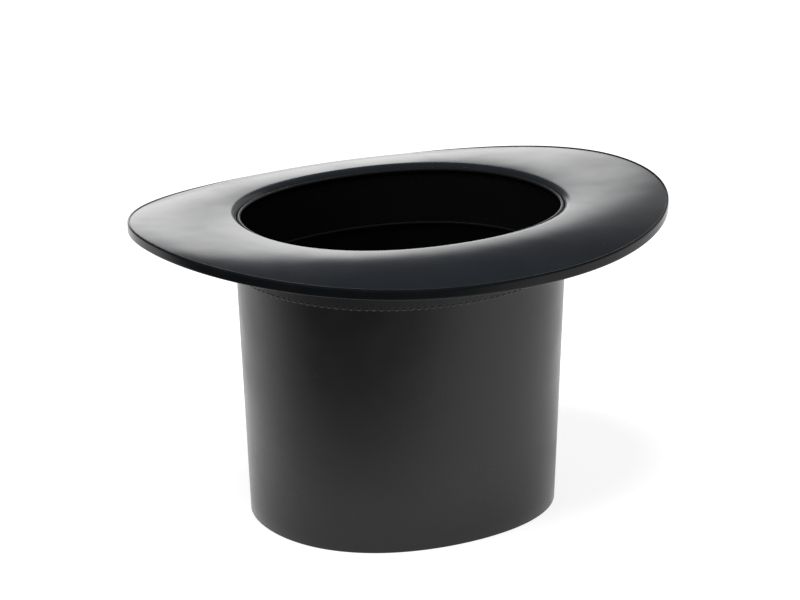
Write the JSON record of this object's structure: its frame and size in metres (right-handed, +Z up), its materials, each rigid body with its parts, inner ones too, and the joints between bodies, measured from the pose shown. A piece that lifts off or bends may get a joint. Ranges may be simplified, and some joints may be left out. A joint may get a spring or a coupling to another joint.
{
  "type": "top hat",
  "caption": "Tall oval top hat standing upside down on its flat tip, with a rolled saddle-shaped brim, an open head space, a sweatband and a stitched tape under the brim.",
  "frame": {"origin": "centre of the crown tip's outer face, on which the hat stands upside down", "axes": "+X along the long axis of the oval, front to back; +Y across the hat; +Z up, out of the mouth"},
  "size_m": [0.3304, 0.269, 0.189],
  "materials": {
    "crown_shell": "black stiffened shell with a satin lacquer",
    "brim_shell": "black stiffened shell with a satin lacquer",
    "brim_underside": "black satin underside",
    "binding": "black glossy folded edge",
    "spring_wire": "drawn steel",
    "sweatband_leather": "black smooth leather",
    "reed_cover": "black polished leather rolled over a cord",
    "lining_cloth": "black satin lining",
    "tape": "black ribbed tape",
    "thread": "black waxed thread"
  },
  "bodies": {
    "root": {"crown_wall": "crown_shell", "crown_tip": "crown_shell", "side_lining": "lining_cloth", "tip_lining": "lining_cloth", "sweatband": "sweatband_leather", "sweatband_reed": "reed_cover", "brim_upper_ply": "brim_shell", "brim_lower_ply": "brim_underside", "brim_binding": "binding", "brim_wire": "spring_wire", "collar_tape": "tape", "crown_stitches": "thread", "sweatband_stitches": "thread"}
  },
  "joints": []
}
